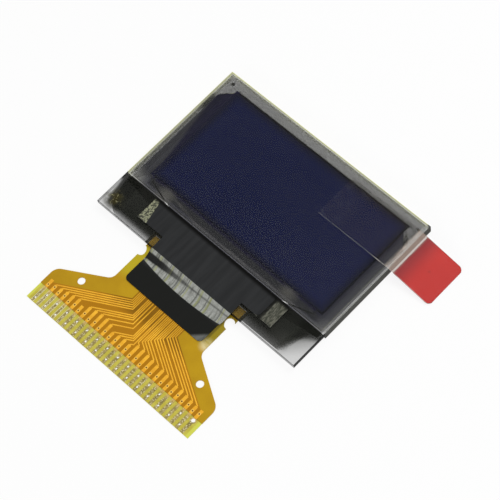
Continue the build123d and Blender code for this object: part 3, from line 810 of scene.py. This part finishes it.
def tapeFinish():
    # matt black, with a painted glare, pale and hatched, on the bend, where the flex's tracks show through as
    # fine lines, and a dark lens in it
    finish, look = Finish("blackTape", tapeLook), tapeLook
    x, y = finish.x, finish.y
    shape = glareShape
    offset = x - shape["middle"]
    glare = (y - offset * offset * shape["bow"]).above(shape["bottom"], 0.04)
    glare = glare * y.below(shape["top"], 0.03)
    lens = lensMask(finish, offset)
    pale = glare * (1.0 - lens)
    finish.tint(pale, look["pale"])
    finish.tint(pale * finish.specks(*look["streaks"]), look["streak"])
    finish.tint(pale * finish.specks(*look["hatching"]), *look["hatch"])
    finish.tint(glare * lens, *look["lens"])
    drift = finish.specks(*look["drifting"]) * shape["lineDrift"]
    wave = x.calculate("FRACT", (x + drift) / shape["lineSpacing"])
    finish.tint(pale * wave.band(*shape["darkBand"]), *look["darkLine"])
    finish.tint(pale * wave.band(*shape["tintedBand"]), *look["tintedLine"])
    tail = y.ramp(shape["bottom"] + 0.5, shape["bottom"] - 0.1)
    finish.tint(tail * (1.0 - pale), look["tail"])
    corner = (x + y * shape["cornerLean"]).ramp(shape["cornerStart"], shape["cornerFull"])
    finish.tint(corner * finish.specks(*look["cornerSpecks"]), *look["corner"])
    layEdgeShade(finish)
    return finish


tapeMaterial = tapeFinish()
dress(["black_tape"], tapeMaterial)
print("panel finishes made")


# finishes of the flexible tail

baseLook = {
    "colour": colour(198, 188, 80), "second": colour(184, 172, 62), "grain": 1.4, "roughness": (0.35, 0.5),
    "bump": 0.1, "depth": 0.003, "specular": 0.3, "corner": colour(206, 208, 82), "padReach": 0.5,
    "covered": colour(196, 158, 40),
}


def baseFinish():
    # amber film, pale yellow-green beside the pads where only the bare film is left
    finish, reach = Finish("polyimide", baseLook), baseLook["padReach"]
    between = finish.x.band(firstPad.x - reach, lastPad.x + reach, 0.1)
    finish.tint(1.0 - between, baseLook["corner"])
    finish.tint(finish.y.ramp(coverLow.y - 0.1, coverLow.y + 0.4), baseLook["covered"])
    return finish


dress(["flex_base"], baseFinish())

coverLook = {
    "colour": colour(186, 147, 22), "second": colour(174, 134, 16), "grain": 0.3, "roughness": (0.35, 0.5),
    "bump": 0.08, "depth": 0.004, "specular": 0.25, "between": colour(172, 116, 10),
    "betweenNeck": (colour(122, 84, 8), 0.8), "neckSides": (colour(184, 168, 34), 0.85),
    "neckRight": (colour(136, 118, 30), 0.8), "neckShade": (colour(98, 86, 28), 0.8),
    "glint": (colour(226, 214, 168), 0.8),
}
trackField = {
    "neckHalf": 3.05, "middle": -0.44, "fanTop": -14.6, "fanSlope": 1.80, "margin": 0.22,
    "neckDown": (-16.5, -15.2), "neckTop": (-14.0, -12.6), "sides": (4.2, 5.4), "right": (4.2, 4.5),
    "shade": (4.3, 5.0, 0.1), "glint": (5.35, -13.35, 0.55, 0.45),
    "glintSpecks": (1.2, 0.40, 0.2, (0.5, 1.0, 1.0)),
}


def coverFinish():
    # amber film, browner between the tracks as painted shade, yellow at the neck's left side and in painted
    # shade at its right side, with a painted glint
    finish, look = Finish("coverlayFilm", coverLook), coverLook
    x, y = finish.x, finish.y
    field = trackField
    sideways = abs(x - field["middle"])
    drop = (field["fanTop"] - y).larger(0.0)
    reach = drop * field["fanSlope"] + field["neckHalf"]
    withinPads = x.band(firstPad.x - field["margin"], lastPad.x + field["margin"], 0.03)
    inside = (sideways - reach).ramp(0.15, -0.05) * withinPads
    # painted shade between the tracks
    finish.tint(inside, look["between"])
    finish.tint(inside * y.ramp(*field["neckDown"]), *look["betweenNeck"])
    neckTop = y.ramp(*field["neckTop"])
    finish.tint(sideways.ramp(*field["sides"]) * neckTop, *look["neckSides"])
    # painted shadow of the tape at the neck's right side
    finish.tint(neckTop * x.ramp(*field["right"]), *look["neckRight"])
    finish.tint(neckTop * x.band(*field["shade"]), *look["neckShade"])
    # painted glint
    glint = finish.disc(*field["glint"]) * finish.specks(*field["glintSpecks"])
    finish.tint(glint, *look["glint"])
    return finish


dress(["flex_coverlay", "rear_coverlay"], coverFinish())

ridgeLook = {
    "colour": colour(244, 184, 52), "second": colour(230, 168, 44), "grain": 1.2, "roughness": (0.28, 0.4),
    "bump": 0.1, "depth": 0.003, "specular": 0.3, "neck": (colour(200, 146, 30), 0.85),
    "neckDown": (-16.0, -14.4), "flank": colour(156, 98, 12), "stub": (colour(222, 158, 34), 0.6),
    "stubSpecks": (2.0, 0.5, 0.15), "dimpleRim": (colour(252, 214, 110), 0.8),
    "dimple": (colour(128, 82, 18), 0.95),
}
stubDots = {"spacing": (lastPad.x - firstPad.x) / 29, "evenRow": -18.79, "oddRow": -18.98, "radius": 0.105}


def padOffset(finish):
    # which pad a place belongs to, and how far it lies from that pad's middle line
    number = (finish.x - firstPad.x) / stubDots["spacing"]
    whole = number.calculate("ROUND", number)
    return whole, (number - whole) * stubDots["spacing"]


def ridgeFinish():
    # film over copper: bright on top, deep orange on its flanks as painted shade, darker in the neck, and a
    # dimple in each stub painted with a highlight round a shaded middle
    finish, look = Finish("filmOverTracks", ridgeLook), ridgeLook
    y = finish.y
    finish.tint(y.ramp(*look["neckDown"]), *look["neck"])
    # painted shade on the flanks
    finish.tint(finish.cutEdges(0.8), look["flank"])
    stub = y.ramp(coverLow.y + 1.2, coverLow.y + 0.9)
    finish.tint(stub * finish.specks(*look["stubSpecks"]), *look["stub"])
    number, aside = padOffset(finish)
    row = number.calculate("PINGPONG", number, 1.0).evenly(stubDots["oddRow"], stubDots["evenRow"])
    along = y - row
    away = y.calculate("SQRT", along * along + aside * aside)
    # painted highlight round each dimple and painted shade in it
    finish.tint(away.below(stubDots["radius"] + 0.04, 0.02), *look["dimpleRim"])
    finish.tint(away.below(stubDots["radius"] - 0.01, 0.02), *look["dimple"])
    return finish


ridgeMaterial = ridgeFinish()

padLook = {
    "colour": colour(176, 158, 98), "second": colour(136, 122, 66), "grain": 3.0, "roughness": (0.35, 0.55),
    "bump": 0.3, "depth": 0.006, "metallic": 0.1, "worn": (colour(232, 222, 172), 0.75),
    "wornSpecks": (6.5, 0.57, 0.06), "rim": (colour(232, 226, 182), 0.8), "rimFrom": (0.10, 0.15),
    "besideCover": (colour(226, 190, 104), 0.6), "edge": (colour(220, 208, 140), 0.8),
}


def padFinish():
    # plated pads, worn pale in places, with paler sides on the first few
    finish, look = Finish("platedCopper", padLook), padLook
    finish.tint(finish.specks(*look["wornSpecks"]), *look["worn"])
    firstFew = finish.x.ramp(firstPad.x + 4.5, firstPad.x + 3.0)
    aside = padOffset(finish)[1]
    finish.tint(firstFew * abs(aside).ramp(*look["rimFrom"]), *look["rim"])
    finish.tint(finish.y.ramp(coverLow.y - 0.45, coverLow.y - 0.1), *look["besideCover"])
    finish.tint(finish.cutEdges(), *look["edge"])
    return finish


dress(trackNames, padFinish())
print("flex finishes made")


# modelling helpers

near = 0.01              # mm within which a corner counts as lying on a line


def setMode(mode):
    bpy.ops.object.mode_set(mode=mode)


def startPiece(name):
    piece = bpy.context.object
    piece.name = name
    piece.data.name = name
    return piece


def takeAlone(piece):
    if bpy.context.object and bpy.context.object.mode != "OBJECT":
        setMode("OBJECT")
    bpy.ops.object.select_all(action="DESELECT")
    piece.select_set(True)
    bpy.context.view_layer.objects.active = piece


def pickAll():
    bpy.ops.mesh.select_all(action="SELECT")


def pick(piece, kind, test):
    # in edit mode, selects the faces, edges or corners whose places in mm pass the test
    bpy.ops.mesh.select_mode(type=kind)
    bpy.ops.mesh.select_all(action="DESELECT")
    setMode("OBJECT")
    mesh = piece.data
    if kind == "FACE":
        for face in mesh.polygons:
            face.select = test(face.center / mm, face.normal)
    elif kind == "EDGE":
        for edge in mesh.edges:
            edge.select = test(*(mesh.vertices[index].co / mm for index in edge.vertices))
    else:
        for corner in mesh.vertices:
            corner.select = test(corner.co / mm)
    setMode("EDIT")


def reshape(piece, move):
    # moves every corner by a rule that works in mm
    for corner in piece.data.vertices:
        corner.co = move(corner.co / mm) * mm


def extrudeBy(x, y, z):
    bpy.ops.mesh.extrude_region_move(TRANSFORM_OT_translate={"value": (x * mm, y * mm, z * mm)})


def turnBy(angle, steps, y, z):
    # sweeps the picked edges round a line along x
    bpy.ops.mesh.spin(steps=steps, angle=angle, axis=(1, 0, 0), center=(0, y * mm, z * mm))


def copyNode(name, pieceName):
    # a merged copy of a CAD node's mesh, as a new piece in edit mode with all of it selected
    mesh = nodes[name].data.copy()
    mesh.materials.clear()
    piece = bpy.data.objects.new(pieceName, mesh)
    scene.collection.objects.link(piece)
    takeAlone(piece)
    setMode("EDIT")
    pickAll()
    bpy.ops.mesh.remove_doubles(threshold=0.0004 * mm)
    pickAll()
    return piece


def applyModifier(piece, kind, **settings):
    modifier = piece.modifiers.new(kind.lower(), kind)
    for key, value in settings.items():
        setattr(modifier, key, value)
    bpy.ops.object.modifier_apply(modifier=modifier.name)


def finishPiece(piece, finish, replaced=(), smooth=40.0):
    takeAlone(piece)
    bpy.ops.object.shade_smooth_by_angle(angle=math.radians(smooth))
    piece.data.materials.append(finish.material)
    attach(piece, "root")
    if replaced:
        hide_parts(*replaced)


# black tape over the ledge, down its edge and onto the flex

tapeShape = {
    "headLeft": -7.82, "headRight": 7.38, "headSkew": 0.60,     # mm
    "stemLeft": -5.50, "stemRight": 5.20,
    "tailLeft": -5.68, "tailRight": 4.72,
    "slope": 42.0,                                              # degrees
    "edgeRadius": 0.20, "footRadius": 1.20, "corner": 0.50,
    "edgeSteps": 6, "footSteps": 14, "cornerSteps": 5,
    "thickness": 0.09,
}


def makeTape():
    shape = tapeShape
    top, foot = glassHigh.z, tailTop
    headLow, headHigh, ledge = foilLow.y, foilHigh.y, glassLow.y
    width, length = shape["headRight"] - shape["headLeft"], headHigh - headLow
    slope = math.radians(shape["slope"])
    radii = shape["edgeRadius"] + shape["footRadius"]
    run = (top - foot - radii * (1 - math.cos(slope))) / math.sin(slope)
    footY = ledge - radii * math.sin(slope) - run * math.cos(slope)
    headMiddle = ((shape["headLeft"] + width / 2) * mm, (headLow + length / 2) * mm, top * mm)

    bpy.ops.object.select_all(action="DESELECT")
    bpy.ops.mesh.primitive_plane_add(size=mm)
    tape = startPiece("tapeCover")
    setMode("EDIT")
    bpy.ops.transform.resize(value=(width, length, 1))
    bpy.ops.transform.translate(value=headMiddle)
    for side in ("stemLeft", "stemRight"):
        pickAll()
        bpy.ops.mesh.bisect(plane_co=(shape[side] * mm, 0, 0), plane_no=(1, 0, 0))

    def inStem(*ends):
        left, right = shape["stemLeft"] - near, shape["stemRight"] + near
        return all(end.y < headLow + near and left < end.x < right for end in ends)

    pick(tape, "EDGE", inStem)
    extrudeBy(0, ledge - headLow, 0)
    turnBy(-slope, shape["edgeSteps"], ledge, top - shape["edgeRadius"])
    extrudeBy(0, -run * math.cos(slope), -run * math.sin(slope))
    turnBy(slope, shape["footSteps"], footY, foot + shape["footRadius"])
    extrudeBy(0, tapeLow.y - footY, 0)

    def lean(place):
        if place.y > headLow - near:
            if place.x < shape["stemLeft"] - near:
                place.x -= shape["headSkew"] * (place.y - headLow) / length
        elif place.y < ledge:
            share = min(1, (ledge - place.y) / (ledge - footY))
            side = "Right" if place.x > 0 else "Left"
            place.x += (shape["tail" + side] - shape["stem" + side]) * share
        return place

    setMode("OBJECT")
    reshape(tape, lean)
    setMode("EDIT")
    pick(tape, "VERT", lambda place: place.y < tapeLow.y + near or place.x > shape["headRight"] - near)
    bpy.ops.mesh.bevel(offset=shape["corner"] * mm, segments=shape["cornerSteps"], affect="VERTICES")
    setMode("OBJECT")
    applyModifier(tape, "SOLIDIFY", thickness=shape["thickness"] * mm, offset=1.0, use_even_offset=True)
    return tape


finishPiece(makeTape(), tapeMaterial, ["black_tape"])
print("tape made")


# red film at the end of the pull tab

gripShape = {"edge": 0.012, "inset": 0.014, "sharp": 40}      # mm, and degrees


def makeGrip():
    grip = copyNode("pull_tab_grip", "tabGrip")
    setMode("OBJECT")
    applyModifier(grip, "BEVEL", width=gripShape["edge"] * mm, segments=2, limit_method="ANGLE",
                  angle_limit=math.radians(gripShape["sharp"]))
    setMode("EDIT")
    pickAll()
    bpy.ops.transform.shrink_fatten(value=-gripShape["inset"] * mm)
    setMode("OBJECT")
    return grip


finishPiece(makeGrip(), gripMaterial, ["pull_tab_grip"], smooth=15.0)
print("grip made")


# film raised over the tracks

ridgeShape = {"sink": 0.004, "rise": 0.012, "edge": 0.014, "tapeGap": 0.02}      # mm


def copyTrackTop(name):
    # the top face of a conductor between the tape and the pads
    piece = copyNode(name, "ridge")
    pick(piece, "FACE", lambda centre, normal: normal.z < 0.99 or abs(centre.z - copperTop) > near)
    bpy.ops.mesh.delete(type="FACE")
    for place, normal in ((tapeLow.y - ridgeShape["tapeGap"], 1), (coverLow.y, -1)):
        pickAll()
        bpy.ops.mesh.bisect(plane_co=(0, place * mm, 0), plane_no=(0, normal, 0), clear_outer=True)
    pickAll()
    bpy.ops.mesh.dissolve_limited(angle_limit=math.radians(1))
    return piece


def makeRidges():
    copies = [copyTrackTop(name) for name in trackNames]
    takeAlone(copies[0])
    for piece in copies:
        piece.select_set(True)
    bpy.ops.object.join()
    ridges = startPiece("coverlayRidges")
    setMode("EDIT")
    bpy.ops.mesh.select_mode(type="FACE")
    pickAll()
    bpy.ops.transform.translate(value=(0, 0, (coverThickness - ridgeShape["sink"]) * mm))
    extrudeBy(0, 0, ridgeShape["sink"] + ridgeShape["rise"])
    bpy.ops.mesh.region_to_loop()
    bpy.ops.mesh.bevel(offset=ridgeShape["edge"] * mm, segments=2, affect="EDGES")
    pickAll()
    bpy.ops.mesh.normals_make_consistent(inside=False)
    setMode("OBJECT")
    return ridges


finishPiece(makeRidges(), ridgeMaterial)
print("ridges made")


# floor, backdrop and light

stageLook = {
    "size": 4.0, "floorColour": colour(236, 236, 236), "floorRoughness": 0.9, "floorSpecular": 0.1,
    "whiteShare": 0.86, "worldLight": 0.50, "worldGloss": 0.10,
}
lamps = {
    "frontLamp": {"place": (20, -220, 110), "size": (220, 60), "power": 0.16, "inGloss": True},
    "topLamp": {"place": (60, 120, 260), "size": (160, 160), "power": 0.50, "inGloss": False},
}


def rayKinds(tree, *kinds):
    path = addNode(tree, "LightPath", {}).outputs
    return [Field(tree, path["Is " + kind + " Ray"]) for kind in kinds]


def makeFloor():
    bpy.ops.object.select_all(action="DESELECT")
    bpy.ops.mesh.primitive_plane_add(size=stageLook["size"])
    floor = bpy.context.object
    floor.name = "floor"
    material = bpy.data.materials.new("floor")
    material.use_nodes = True
    tree = material.node_tree
    shader = tree.nodes["Principled BSDF"]
    shader.inputs["Base Color"].default_value = stageLook["floorColour"]
    shader.inputs["Roughness"].default_value = stageLook["floorRoughness"]
    shader.inputs["Specular IOR Level"].default_value = stageLook["floorSpecular"]
    seen, mirrored, through = rayKinds(tree, "Camera", "Glossy", "Transmission")
    share = seen.larger(mirrored.larger(through)) * stageLook["whiteShare"]
    white = addNode(tree, "Emission", {"Color": (1, 1, 1, 1), "Strength": 1.0}).outputs[0]
    blend = addNode(tree, "MixShader", {0: share, 1: shader.outputs[0], 2: white})
    tree.links.new(blend.outputs[0], tree.nodes["Material Output"].inputs["Surface"])
    floor.data.materials.append(material)


def makeWorld():
    world = bpy.data.worlds.new("studio")
    scene.world = world
    world.use_nodes = True
    background = world.node_tree.nodes["Background"]
    tree = world.node_tree
    seen, through, mirrored, scattered = rayKinds(tree, "Camera", "Transmission", "Glossy", "Diffuse")
    strength = seen.larger(through).larger(mirrored * stageLook["worldGloss"])
    strength = strength.larger(scattered * stageLook["worldLight"])
    background.inputs["Color"].default_value = (1, 1, 1, 1)
    wire(tree, strength, background.inputs["Strength"])


def makeLamp(name, lamp):
    data = bpy.data.lights.new(name, "AREA")
    data.shape = "RECTANGLE"
    data.size, data.size_y = (length * mm for length in lamp["size"])
    data.energy = lamp["power"]
    piece = bpy.data.objects.new(name, data)
    scene.collection.objects.link(piece)
    place = Vector(lamp["place"]) * mm
    piece.matrix_world = Matrix.Translation(place) @ place.to_track_quat("Z", "Y").to_matrix().to_4x4()
    piece.visible_glossy = lamp["inGloss"]


makeFloor()
makeWorld()
for lampName, lampValues in lamps.items():
    makeLamp(lampName, lampValues)
print("stage and light made")
